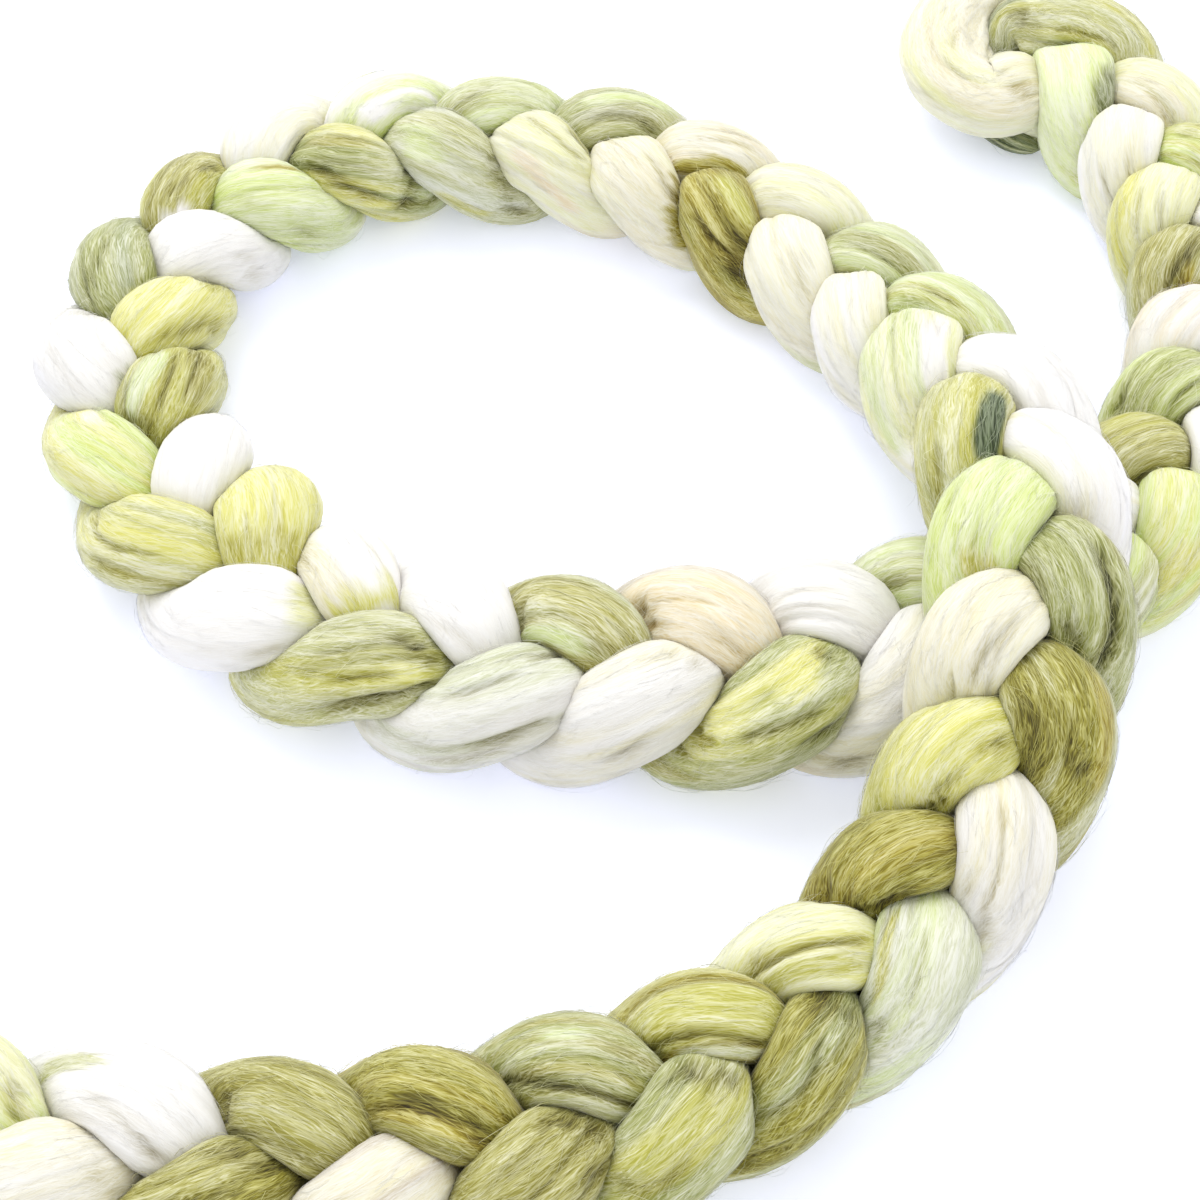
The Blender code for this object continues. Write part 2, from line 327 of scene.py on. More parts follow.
# Folds, and ends of lobes painted dark as shade where the strand goes under, by the lobe they lie
# in: from lobe, degrees, to lobe, degrees (90 is on top, 0 the right-hand side of the strand's
# way), width in mm and depth. The depth sinks the surface and darkens its colour as painted shade.
FOLD_AND_SHADE_LINES = {
    0: ((0.2, 125, 0.3, 105, 1.8, 0.7),),
    1: ((1.3, 75, 1.4, 45, 1.8, 0.3),),
    2: ((1.8, 78, 2.0, 72, 1.8, 0.4), (2.15, 68, 2.25, 62, 1.8, 0.6)),
    3: ((3.15, 118, 3.35, 78, 3.0, 0.7), (2.8, 88, 3.1, 72, 1.6, 0.5)),
    4: ((3.45, 97, 3.5, 72, 2.5, 0.6), (3.6, 55, 4.1, 50, 3.0, 0.4), (4.1, 54, 4.2, 54, 2.0, 0.6)),
    6: ((5.6, 70, 6.0, 73, 2.0, 1.0), (6.0, 73, 6.3, 80, 1.7, 0.7), (6.15, 80, 6.3, 67, 3.0, 0.6)),
    7: ((7.25, 105, 7.4, 60, 2.5, 0.7), (7.2, 45, 7.25, 30, 2.0, 0.6)),
    8: ((7.4, 90, 7.7, 70, 2.0, 1.0), (7.7, 70, 7.9, 62, 1.8, 0.9), (7.9, 62, 8.3, 58, 1.7, 0.7),
        (8.1, 105, 8.3, 105, 3.0, 0.3)),
    9: ((9.1, 120, 9.3, 60, 1.9, 0.9), (8.4, 75, 8.5, 60, 1.8, 0.5), (8.6, 55, 8.7, 55, 1.8, 0.5)),
    10: ((9.45, 75, 9.5, 65, 2.5, 0.8), (9.55, 72, 9.9, 66, 1.7, 0.8), (9.9, 66, 10.3, 62, 1.7, 0.6)),
    11: ((11.2, 110, 11.25, 60, 3.0, 0.6), (10.8, 60, 10.95, 75, 1.7, 0.6)),
    12: ((11.5, 90, 11.75, 84, 2.2, 1.1), (11.75, 84, 12.15, 84, 1.7, 0.9)),
    13: ((13.05, 85, 12.7, 75, 1.5, 0.4), (13.05, 135, 13.15, 135, 2.0, 0.5),
         (12.4, 80, 12.3, 72, 1.5, 0.4)),
    14: ((13.4, 80, 13.6, 60, 2.5, 0.8), (13.6, 60, 13.85, 40, 2.5, 0.9),
         (13.35, 125, 13.45, 125, 3.0, 0.5)),
    15: ((15.1, 92, 14.5, 85, 1.3, 0.45), (14.5, 85, 14.25, 65, 1.3, 0.4),
         (14.6, 110, 14.65, 110, 2.0, 0.3)),
    16: ((15.7, 72, 15.9, 60, 1.5, 0.4), (16.2, 60, 16.25, 51, 2.5, 0.7),
         (15.4, 85, 15.6, 60, 2.0, 0.8)),
    17: ((16.9, 85, 16.7, 88, 1.6, 0.6), (16.7, 88, 16.6, 66, 1.7, 0.5),
         (16.3, 128, 16.95, 126, 5.0, 0.5)),
    18: ((17.97, 70, 17.6, 80, 1.8, 0.7), (17.5, 105, 17.2, 110, 1.6, 0.4)),
    19: ((18.98, 140, 19.08, 140, 4.0, 0.6), (18.95, 62, 18.8, 60, 2.2, 1.1),
         (18.8, 60, 18.3, 60, 2.4, 1.3), (18.6, 115, 18.4, 95, 1.7, 0.6)),
    20: ((19.8, 145, 19.85, 145, 2.0, 0.3), (19.6, 100, 19.7, 100, 1.6, 0.25)),
    21: ((20.5, 110, 20.5, 95, 4.0, 0.25),),
    22: ((21.55, 128, 21.2, 138, 1.7, 0.4),),
    24: ((24.0, 108, 23.98, 80, 2.0, 0.3),),
    25: ((24.97, 95, 24.85, 95, 1.7, 0.5), (25.05, 115, 25.0, 112, 3.0, 0.4),
         (24.55, 113, 24.45, 113, 3.0, 0.4)),
    27: ((27.0, 105, 26.85, 108, 1.6, 0.8), (26.85, 108, 26.65, 105, 1.5, 0.8),
         (27.05, 98, 26.7, 98, 5.0, 0.35)),
    28: ((27.85, 98, 27.55, 110, 1.5, 0.35),),
    29: ((29.05, 120, 29.1, 112, 3.0, 0.3),),
    30: ((29.85, 135, 29.7, 136, 1.7, 0.7), (29.7, 136, 29.45, 130, 1.7, 1.1),
         (29.6, 112, 29.2, 145, 4.0, 0.8)),
    31: ((31.0, 90, 30.6, 75, 1.5, 0.3), (31.0, 72, 30.6, 50, 1.5, 0.25)),
    32: ((31.85, 86, 31.6, 100, 1.6, 0.5),),
    33: ((33.05, 104, 32.85, 108, 3.0, 0.7), (32.85, 108, 32.6, 108, 3.2, 0.8),
         (32.6, 118, 32.65, 118, 3.0, 0.5)),
    34: ((34.11, 83, 33.7, 97, 1.2, 0.5), (33.75, 62, 33.6, 66, 3.0, 1.1)),
    35: ((35.05, 75, 35.15, 90, 3.0, 0.4),),
    36: ((35.5, 98, 35.35, 118, 2.5, 0.5), (35.35, 118, 35.0, 150, 2.5, 0.5),
         (34.9, 165, 34.6, 174, 3.5, 0.9)),
    38: ((38.1, 137, 37.9, 158, 2.5, 0.9), (37.9, 158, 37.6, 170, 2.0, 0.9),
         (37.35, 120, 37.2, 150, 2.5, 0.6),
         (37.2, 160, 37.15, 170, 2.2, 1.2), (38.05, 125, 37.8, 128, 1.6, 0.4)),
    40: ((40.05, 128, 40.0, 135, 2.0, 0.3), (39.6, 165, 39.45, 180, 3.0, 0.35)),
    41: ((40.7, 108, 40.75, 98, 2.5, 0.7), (40.95, 88, 41.1, 80, 1.6, 0.4)),
    42: ((41.75, 148, 41.6, 155, 1.7, 0.25), (41.5, 178, 41.3, 192, 3.0, 0.35)),
    43: ((42.9, 80, 43.2, 55, 1.6, 0.4), (43.1, 50, 43.3, 45, 2.0, 0.4)),
    44: ((44.2, 120, 44.05, 140, 1.7, 0.4), (44.05, 140, 43.85, 160, 2.2, 0.7),
         (43.85, 160, 43.7, 178, 2.0, 0.7)),
    45: ((44.6, 100, 44.65, 85, 2.5, 0.3),),
    46: ((45.85, 104, 46.15, 108, 1.6, 0.6), (45.7, 128, 46.0, 130, 1.7, 0.5),
         (46.35, 70, 46.4, 110, 3.0, 0.7),
         (46.1, 60, 46.3, 62, 2.0, 0.5)),
    49: ((48.42, 68, 48.5, 60, 2.5, 0.6), (48.6, 52, 48.8, 45, 1.7, 0.6),
         (48.8, 50, 49.0, 52, 1.5, 0.4),
         (48.6, 22, 48.9, 22, 3.5, 0.6), (48.9, 18, 49.15, 17, 3.5, 0.7)),
    50: ((50.05, 108, 50.2, 110, 1.7, 0.5), (50.1, 80, 50.2, 78, 1.5, 0.4),
         (50.25, 60, 50.25, 125, 2.5, 0.5)),
    51: ((51.05, 14, 51.2, 22, 2.5, 0.4),),
    52: ((51.7, 62, 51.85, 60, 2.0, 0.3),),
    53: ((53.15, 88, 53.25, 78, 2.2, 1.2), (53.25, 78, 53.35, 58, 2.0, 0.6),
         (52.7, 16, 53.1, 20, 2.5, 0.9),
         (53.1, 20, 53.35, 32, 2.0, 0.9), (52.8, 48, 53.05, 48, 1.5, 0.5),
         (52.7, 75, 53.0, 78, 1.5, 0.3)),
    54: ((54.0, 55, 54.25, 68, 1.7, 0.25),),
    55: ((54.72, 79, 54.95, 83, 1.3, 0.5), (55.2, 95, 55.38, 95, 2.0, 0.7),
         (54.7, 22, 55.05, 26, 2.2, 0.6),
         (54.2, 10, 54.75, 8, 2.5, 0.4)),
    56: ((55.58, 88, 55.6, 62, 2.4, 0.9), (56.15, 60, 56.25, 78, 2.5, 0.5),
         (55.75, 70, 56.05, 80, 1.5, 0.4)),
    57: ((56.55, 25, 56.75, 30, 1.8, 0.5), (57.1, 105, 57.3, 70, 1.5, 0.4)),
    58: ((57.52, 88, 57.55, 78, 1.8, 0.9), (57.55, 78, 57.68, 54, 2.2, 0.8),
         (57.7, 82, 57.95, 88, 1.6, 0.3),
         (58.1, 60, 58.3, 62, 2.5, 0.25)),
    59: ((58.6, 55, 58.75, 50, 1.7, 0.8), (58.75, 50, 58.9, 45, 1.6, 0.6),
         (58.85, 22, 59.0, 15, 1.8, 0.6),
         (59.2, 92, 59.25, 78, 1.5, 0.8), (58.2, 72, 58.25, 62, 2.2, 0.8),
         (57.88, 50, 57.95, 44, 2.2, 0.8)),
    60: ((59.6, 85, 59.9, 92, 1.5, 0.25), (59.7, 70, 60.0, 75, 1.5, 0.25)),
    61: ((59.85, 10, 60.05, 15, 2.5, 0.8), (60.55, 75, 60.6, 60, 2.0, 0.25)),
    62: ((61.6, 78, 61.75, 66, 2.5, 0.6),),
    68: ((67.75, 45, 67.85, 45, 3.0, 0.7),),
    70: ((69.45, 140, 69.6, 140, 2.0, 0.8), (69.8, 70, 70.0, 70, 1.6, 0.6)),
    72: ((71.7, 120, 72.0, 110, 1.5, 0.25),),
    74: ((73.8, 100, 73.6, 108, 2.2, 1.0), (73.8, 100, 73.95, 85, 2.5, 0.8),
         (73.7, 90, 73.6, 85, 3.0, 0.3)),
    76: ((75.85, 122, 75.5, 124, 1.6, 0.4), (75.85, 95, 75.6, 92, 1.6, 0.4)),
    77: ((77.15, 80, 77.1, 95, 2.5, 0.5), (76.95, 125, 76.85, 115, 1.6, 0.5)),
    78: ((77.75, 95, 77.6, 100, 1.5, 0.4), (77.55, 135, 77.1, 138, 1.6, 0.5)),
    79: ((79.1, 112, 78.9, 118, 2.5, 0.5), (78.9, 118, 78.7, 125, 2.2, 0.5)),
    80: ((79.82, 84, 79.5, 94, 1.4, 0.4), (79.86, 60, 79.84, 80, 1.6, 0.4)),
    81: ((81.95, 112, 81.9, 135, 3.0, 0.7), (81.45, 132, 81.0, 128, 1.6, 0.5),
         (81.0, 128, 80.7, 118, 1.7, 0.5)),
    82: ((81.55, 115, 81.5, 135, 3.0, 0.6), (82.4, 110, 82.0, 120, 1.5, 0.15),
         (82.9, 100, 82.5, 110, 1.5, 0.15),
         (83.2, 80, 82.8, 90, 1.5, 0.25), (81.75, 95, 81.6, 88, 1.6, 0.35)),
}


LOBE_MM, DEGREE_MM = 26, 0.3  # on a strand rolled out flat


def from_line(lobe, angle, line):
    """Distance in mm from a line on a strand rolled out flat."""
    x = (lobe - line[0]) * LOBE_MM
    y = ((np.degrees(angle) - line[1] + 180) % 360 - 180) * DEGREE_MM
    along_x, along_y = (line[2] - line[0]) * LOBE_MM, (line[3] - line[1]) * DEGREE_MM
    part = np.clip((x * along_x + y * along_y) / (along_x**2 + along_y**2), 0, 1)
    return np.hypot(x - part * along_x, y - part * along_y)


def fold_and_shade_depth(strand, lobe, angle):
    """How deep each place lies in the strand's folds and shaded lobe ends; the depth sinks the
    surface and is painted into its colour as shade. A fold falls off as a narrow bell curve upon a
    broad one, and its edges are a little ragged."""
    ragged = 1 + 0.25 * unevenness(strand + 55, lobe, angle, 0.15, 30)
    depth = np.zeros(angle.shape)
    for n, folds in FOLD_AND_SHADE_LINES.items():
        if n % 3 == strand:
            for *line, width, deep in folds:
                away = from_line(lobe, angle, line) * ragged / width
                bell = 0.7 * np.exp(-((away / 0.6) ** 2)) + 0.35 * np.exp(-((away / 1.3) ** 2))
                depth = np.maximum(depth, deep * bell)
    return depth


def strand_skin(strand):
    """The strand's surface on a grid of rows along it and sides round it, with what the dye, the
    painted shade of folds, grooves and pressed places, and the loose fibres need of it."""
    lobe = np.linspace(FIRST_LOBE[strand] + 0.002, LAST_LOBE[strand] - 0.002, ROWS)
    lobe = lobe[:, None]
    turn = 2 * math.pi * np.arange(SIDES) / SIDES
    angle = np.broadcast_to(turn - 0.35 * np.sin(turn - math.pi / 2), (ROWS, SIDES))
    coarse_lobe = np.arange(FIRST_LOBE[strand] + 0.02, LAST_LOBE[strand], COARSE_STEP)
    coarse_angle = 2 * math.pi * np.arange(COARSE_SIDES) / COARSE_SIDES
    coarse_angles = np.broadcast_to(coarse_angle, (len(coarse_lobe), COARSE_SIDES))
    fill = fill_of(strand, coarse_lobe, coarse_angles)
    fill = softened(fill, 1)
    row = (lobe - coarse_lobe[0]) / COARSE_STEP
    fill = read_grid(fill, np.broadcast_to(row, angle.shape), angle / (2 * math.pi) * COARSE_SIDES)
    middle, radius, spoke = spokes(strand, lobe[:, 0], angle)
    swollen = np.clip((fill - 0.55) / 0.35, 0, 1)
    broad = bundles(strand + 10, lobe[:, 0], angle, 8, 0.2)
    fine = bundles(strand + 20, lobe[:, 0], angle, 33, 0.08)
    deep = np.clip(0.05 + 0.5 * unevenness(strand + 30, lobe, angle, 1.3, 9), 0, 1.4)
    slight = np.clip(0.3 + 0.6 * unevenness(strand + 35, lobe, angle, 0.8, 15), 0, 1.4)
    fold_and_shade = fold_and_shade_depth(strand, lobe, angle)
    relief = 0.0009 * unevenness(strand + 40, lobe, angle, 1.2, 7)
    relief = relief + 0.0004 * unevenness(strand + 45, lobe, angle, 0.6, 19)
    relief = relief - 0.0014 * deep * broad - 0.0003 * slight * fine - 0.0032 * fold_and_shade
    relief = relief * (0.35 + 0.65 * swollen) * np.minimum(radius / 0.012, 1)[:, None]
    reach = fill * radius[:, None] + relief
    point = (middle[:, None] + spoke * reach[..., None]) / (1, 1, FLATTENED)
    point[..., 2] = np.maximum(point[..., 2], 0)
    return {"lobe": lobe, "angle": angle, "point": point, "fill": fill, "radius": radius,
            "fold_and_shade": fold_and_shade, "groove": np.clip(deep * broad + 0.3 * slight * fine, 0, 1),
            "middle": middle / (1, 1, FLATTENED)}


def closed_tube(rings):
    """Vertices and faces of a closed tube: quads between rings and a fan on each end."""
    count, sides = rings.shape[:2]
    corner = np.arange(count * sides).reshape(count, sides)
    beside = np.roll(corner, -1, axis=1)
    quads = np.stack([corner[:-1], corner[1:], beside[1:], beside[:-1]], -1).reshape(-1, 4)
    tip = count * sides
    ends = np.stack([rings[0].mean(0), rings[-1].mean(0)])
    caps = [(a, b, tip) for a, b in zip(corner[0], beside[0])]
    caps += [(b, a, tip + 1) for a, b in zip(corner[-1], beside[-1])]
    return np.concatenate([rings.reshape(-1, 3), ends]), quads.tolist() + caps


def lay_attribute(mesh, name, kind, grid):
    """Gives every vertex of a closed tube a value from the grid, and each tip its ring's mean."""
    flat = grid.reshape(-1, grid.shape[-1])
    flat = np.concatenate([flat, grid[0].mean(0)[None], grid[-1].mean(0)[None]])
    field = {"FLOAT_COLOR": "color", "FLOAT_VECTOR": "vector", "FLOAT": "value"}[kind]
    attribute = mesh.attributes.new(name, kind, "POINT")
    attribute.data.foreach_set(field, flat.astype(np.float32).ravel())


DYES = {
    "white": (252, 250, 247),
    "warm_white": (244, 242, 238),
    "ivory": (250, 247, 224),
    "cream": (244, 239, 214),
    "peach": (246, 234, 204),
    "taupe": (222, 214, 198),
    "pale_yellow": (244, 244, 202),
    "yellow_lime": (235, 233, 158),
    "pale_lime": (240, 248, 198),
    "lime": (228, 238, 170),
    "pale_green": (226, 234, 184),
    "yellow_green": (212, 210, 128),
    "sage": (213, 214, 168),
    "pale_grey": (222, 225, 197),
    "grey_green": (178, 184, 144),
    "moss": (188, 192, 134),
    "olive": (190, 186, 116),
    "deep_olive": (166, 160, 68),
    "gold_olive": (184, 172, 76),
    "dark_green": (104, 118, 82),
}

# The dye of each lobe that shows, and a second dye that streaks it.
LOBE_DYES = {
    "strand_a": {
        -9: ("white", "cream"), -6: ("white", "cream"), -3: ("lime", "yellow_lime"),
        0: ("lime", "pale_yellow"), 3: ("olive", "deep_olive"), 6: ("deep_olive", "gold_olive"),
        9: ("moss", "yellow_green"), 12: ("pale_yellow", "yellow_lime"), 15: ("warm_white", "cream"),
        18: ("cream", "ivory"), 21: ("white", "ivory"), 24: ("pale_green", "pale_yellow"),
        27: ("sage", "pale_green"), 30: ("gold_olive", "deep_olive"), 33: ("sage", "moss"),
        36: ("sage", "pale_grey"), 39: ("white", "ivory"), 42: ("white", "white"),
        45: ("warm_white", "warm_white"), 48: ("white", "white"), 51: ("white", "white"),
        54: ("white", "white"), 57: ("warm_white", "cream"), 60: ("white", "warm_white"),
        63: ("cream", "white"), 66: ("white", "cream"), 69: ("white", "peach"),
        72: ("white", "peach"), 75: ("white", "cream"), 78: ("ivory", "white"),
        81: ("sage", "yellow_green"), 84: ("dark_green", "moss"),
    },
    "strand_b": {
        -8: ("lime", "cream"), -5: ("cream", "white"), -2: ("white", "cream"),
        1: ("warm_white", "cream"), 4: ("olive", "deep_olive"), 7: ("olive", "olive"),
        10: ("yellow_green", "gold_olive"), 13: ("pale_grey", "pale_green"),
        16: ("yellow_lime", "yellow_green"),
        19: ("moss", "olive"), 22: ("yellow_green", "sage"), 25: ("pale_green", "yellow_green"),
        28: ("cream", "ivory"), 31: ("cream", "peach"), 34: ("ivory", "pale_yellow"),
        37: ("white", "lime"), 40: ("pale_green", "lime"), 43: ("moss", "grey_green"),
        46: ("yellow_green", "sage"), 49: ("sage", "yellow_lime"), 52: ("white", "cream"),
        55: ("pale_grey", "warm_white"), 58: ("peach", "taupe"), 61: ("warm_white", "cream"),
        64: ("cream", "white"), 67: ("lime", "yellow_lime"), 70: ("moss", "lime"),
        73: ("olive", "moss"), 76: ("yellow_lime", "pale_yellow"), 79: ("pale_yellow", "cream"),
        82: ("cream", "pale_yellow"), 85: ("cream", "cream"),
    },
    "strand_c": {
        -7: ("olive", "moss"), -4: ("olive", "sage"), -1: ("sage", "lime"),
        2: ("warm_white", "white"), 5: ("cream", "taupe"), 8: ("moss", "olive"),
        11: ("deep_olive", "moss"), 14: ("deep_olive", "gold_olive"), 17: ("deep_olive", "sage"),
        20: ("lime", "pale_green"), 23: ("white", "white"), 26: ("ivory", "white"),
        29: ("ivory", "pale_yellow"), 32: ("cream", "pale_yellow"), 35: ("pale_green", "sage"),
        38: ("moss", "yellow_lime"), 41: ("olive", "yellow_green"), 44: ("yellow_lime", "yellow_lime"),
        47: ("yellow_lime", "lime"), 50: ("yellow_lime", "yellow_lime"), 53: ("sage", "yellow_green"),
        56: ("olive", "sage"), 59: ("moss", "yellow_lime"), 62: ("pale_green", "sage"),
        65: ("lime", "sage"), 68: ("olive", "yellow_green"), 71: ("olive", "gold_olive"),
        74: ("olive", "sage"), 77: ("lime", "yellow_green"), 80: ("pale_lime", "lime"),
        83: ("lime", "white"),
    },
}

# Patches of another dye, by the lobe they lie in: from lobe, degrees, to lobe, degrees, width.
# The patch on lobe 40 is painted shade, and the one on lobe 80 lays a darker grey-green over its
# fold.
PATCH_EDGE = 1.8  # mm over which a patch fades
PATCHES = {
    2: ((1.25, 112, 1.6, 110, 3.0, "sage"),),
    6: ((5.7, 50, 6.2, 50, 3.0, "olive"),),
    8: ((7.7, 45, 8.2, 42, 4.0, "sage"), (7.84, 112, 7.9, 112, 2.0, "pale_green")),
    9: ((9.25, 110, 9.3, 75, 3.5, "sage"),),
    10: ((9.8, 50, 10.2, 48, 3.0, "sage"),),
    12: ((11.6, 64, 12.1, 64, 3.5, "yellow_green"), (11.7, 38, 12.1, 35, 3.0, "pale_yellow")),
    13: ((13.1, 130, 12.6, 108, 2.0, "yellow_green"),),
    17: ((16.6, 48, 17.0, 50, 3.5, "gold_olive"),),
    20: ((19.5, 104, 19.5, 82, 3.0, "yellow_green"),),
    22: ((21.64, 79, 21.86, 73, 4.5, "dark_green"),),
    24: ((23.95, 80, 23.5, 84, 4.0, "white"),),
    30: ((29.95, 85, 29.75, 85, 4.0, "yellow_green"), (29.7, 155, 29.5, 160, 3.0, "gold_olive")),
    31: ((31.1, 132, 30.65, 118, 4.5, "gold_olive"),),
    32: ((31.62, 78, 31.42, 108, 2.2, "gold_olive"), (31.4, 112, 31.05, 140, 3.5, "gold_olive")),
    33: ((33.0, 75, 32.6, 65, 4.0, "pale_green"),),
    34: ((33.98, 135, 33.32, 170, 2.5, "peach"),),
    36: ((36.05, 115, 36.0, 135, 4.0, "pale_green"), (35.5, 188, 35.1, 188, 3.0, "yellow_green")),
    37: ((37.15, 105, 37.1, 120, 3.0, "white"),),
    38: ((37.6, 95, 37.6, 125, 4.5, "sage"), (37.4, 163, 37.2, 163, 2.0, "pale_green"),
         (37.9, 92, 38.05, 95, 3.0, "olive")),
    # Painted shade: this gold-olive patch stands for the shade along lobe 40's edge.
    40: ((39.9, 82, 39.75, 84, 2.0, "gold_olive"),),
    41: ((41.36, 80, 41.27, 108, 3.0, "white"),),
    43: ((43.38, 112, 43.45, 100, 3.0, "yellow_lime"),),
    44: ((43.5, 128, 43.6, 115, 3.5, "yellow_green"),),
    45: ((45.4, 112, 45.47, 98, 2.5, "grey_green"),),
    46: ((45.7, 124, 45.95, 140, 4.0, "olive"), (45.9, 82, 46.1, 75, 4.5, "pale_green")),
    47: ((46.7, 100, 46.75, 95, 3.0, "cream"),),
    51: ((51.38, 60, 51.38, 95, 4.0, "pale_yellow"),),
    52: ((52.28, 60, 52.3, 125, 2.5, "yellow_lime"),),
    53: ((53.15, 52, 53.25, 47, 2.5, "yellow_lime"),),
    56: ((55.7, 52, 56.0, 56, 3.0, "pale_green"),),
    59: ((59.0, 78, 59.1, 92, 4.0, "yellow_lime"), (58.15, 22, 58.5, 18, 3.0, "sage")),
    67: ((66.45, 60, 66.55, 60, 5.0, "yellow_lime"),),
    74: ((73.7, 78, 73.6, 72, 4.0, "gold_olive"),),
    80: ((79.7, 60, 79.5, 62, 7.0, "grey_green"),),
}


def linear(colour):
    """A dye as light: the share of full brightness of each channel, to the power 2.2."""
    return (np.array(colour) / 255) ** 2.2


def dyed(strand, lobe, angle):
    """The colour of the wool before its fine streaks. Each visible lobe has its dye, which runs
    into the next where the strand is hidden, along a ragged line; a second dye lies in streaks."""
    table = LOBE_DYES[STRANDS[strand]]
    own = np.array(sorted(table))
    main = linear([DYES[table[n][0]] for n in own.tolist()])
    second = linear([DYES[table[n][1]] for n in own.tolist()])
    ragged = lobe + 0.28 * unevenness(strand + 50, lobe, angle, 0.8, 24)
    step = (ragged - own[0]) / 3
    whole = np.clip(np.floor(step).astype(int), 0, len(own) - 2)
    part = np.clip((step - whole - 0.5) / 0.3 + 0.5, 0, 1)[..., None]
    part = part * part * (3 - 2 * part)
    patch = unevenness(strand + 60, lobe, angle, 1.0, 11)
    patch = patch + 0.6 * unevenness(strand + 70, lobe, angle, 0.9, 40)
    patch = np.clip(0.35 + 0.55 * patch, 0, 1)[..., None]
    base = main[whole] * (1 - part) + main[whole + 1] * part
    streak = second[whole] * (1 - part) + second[whole + 1] * part
    colour = base * (1 - patch) + streak * patch
    rough_edge = 0.8 * unevenness(strand + 75, lobe, angle, 0.3, 50)
    for n, patches in PATCHES.items():
        if n % 3 == strand:
            for *line, width, dye_and_shade in patches:
                inside = width - from_line(lobe, angle, line) + rough_edge
                share = np.clip(inside / PATCH_EDGE + 0.5, 0, 1)[..., None]
                colour = colour * (1 - share) + linear(DYES[dye_and_shade]) * share
    return colour


def node(tree, kind, place, **settings):
    """A node of a material, at a place in its picture, with its settings."""
    made = tree.nodes.new(kind)
    made.location = place
    for name, value in settings.items():
        setattr(made, name, value)
    return made


BROAD, FINE = 2.2, 3.4  # shares of the broad and the fine streaks


def fibre_group():
    """Combed fibres. The coordinates are bent by slow noise, turned round the strand by a slant
    and drawn out along it. Tone is broad and fine streaks together, from deep to light about a
    half; a line runs where a drawn-out noise passes its middle value; Height is for the relief."""
    group = bpy.data.node_groups.new("combed_fibres", "ShaderNodeTree")
    group.interface.new_socket("Coordinates", in_out="INPUT", socket_type="NodeSocketVector")
    for name in ("Tone", "Lines", "Height"):
        group.interface.new_socket(name, in_out="OUTPUT", socket_type="NodeSocketFloat")
    entry = node(group, "NodeGroupInput", (-1300, 0))
    leave = node(group, "NodeGroupOutput", (1100, 0))
    link = group.links.new
    bent = entry.outputs[0]
    for scale, reach in ((55, 0.004), (120, 0.0016), (260, 0.0010)):
        waves = node(group, "ShaderNodeTexNoise", (-1100, -scale))
        waves.inputs["Scale"].default_value = scale
        waves.inputs["Detail"].default_value = 1
        link(entry.outputs[0], waves.inputs["Vector"])
        moved = node(group, "ShaderNodeVectorMath", (-900, -scale), operation="MULTIPLY_ADD")
        moved.inputs[1].default_value = (reach, reach, reach)
        link(waves.outputs["Color"], moved.inputs[0])
        link(bent, moved.inputs[2])
        bent = moved.outputs[0]
    parts = node(group, "ShaderNodeSeparateXYZ", (-700, -200))
    link(bent, parts.inputs[0])

    def drawn_out(slant, scale, squeeze, detail, rough, height):
        angle = node(group, "ShaderNodeMath", (-500, height), operation="MULTIPLY")
        angle.inputs[1].default_value = slant
        link(parts.outputs["Z"], angle.inputs[0])
        turned = node(group, "ShaderNodeVectorRotate", (-300, height), rotation_type="Z_AXIS")
        link(bent, turned.inputs["Vector"])
        link(angle.outputs[0], turned.inputs["Angle"])
        mapping = node(group, "ShaderNodeMapping", (-100, height))
        mapping.inputs["Scale"].default_value = (1, 1, squeeze)
        link(turned.outputs[0], mapping.inputs["Vector"])
        noise = node(group, "ShaderNodeTexNoise", (100, height))
        noise.inputs["Scale"].default_value = scale
        noise.inputs["Detail"].default_value = detail
        noise.inputs["Roughness"].default_value = rough
        link(mapping.outputs[0], noise.inputs["Vector"])
        return noise.outputs["Fac"]

    def sums(first, share, second, rest, height):
        made = node(group, "ShaderNodeMath", (600, height), operation="MULTIPLY_ADD")
        made.inputs[1].default_value = share
        link(first, made.inputs[0])
        if second is None:
            made.inputs[2].default_value = rest
        else:
            link(second, made.inputs[2])
        return made.outputs[0]

    def greater(first, second, height):
        made = node(group, "ShaderNodeMath", (800, height), operation="MAXIMUM")
        link(first, made.inputs[0])
        link(second, made.inputs[1])
        return made.outputs[0]

    def line(slant, scale, squeeze, width):
        value = drawn_out(slant, scale, squeeze, 0.5, 0.5, 40 * slant)
        away = node(group, "ShaderNodeMath", (300, 40 * slant), operation="SUBTRACT")
        away.inputs[1].default_value = 0.5
        link(value, away.inputs[0])
        size = node(group, "ShaderNodeMath", (450, 40 * slant), operation="ABSOLUTE")
        link(away.outputs[0], size.inputs[0])
        near = node(group, "ShaderNodeMapRange", (600, 40 * slant), interpolation_type="SMOOTHSTEP")
        near.inputs["From Min"].default_value = width
        near.inputs["From Max"].default_value = 0
        link(size.outputs[0], near.inputs["Value"])
        return near.outputs[0]

    lines = greater(line(14, 900, 0.08, 0.05), line(-17, 1100, 0.08, 0.06), 300)
    broad = drawn_out(2, 200, 0.16, 3, 0.6, 0)
    one_way = drawn_out(9, 2000, 0.08, 2, 0.6, -250)
    other_way = drawn_out(-10, 2300, 0.09, 2, 0.6, -450)
    fine = greater(one_way, other_way, -300)
    tone = sums(broad, BROAD, None, 0.5 - 0.5 * BROAD - 0.56 * FINE, 0)
    tone = sums(fine, FINE, tone, 0, -150)
    link(lines, leave.inputs["Lines"])
    link(tone, leave.inputs["Tone"])
    link(sums(fine, 0.6, broad, 0, -350), leave.inputs["Height"])
    return group


COMBED_FIBRES = fibre_group()
WOOL_WHITENESS = 0.805  # how light the whitest wool is


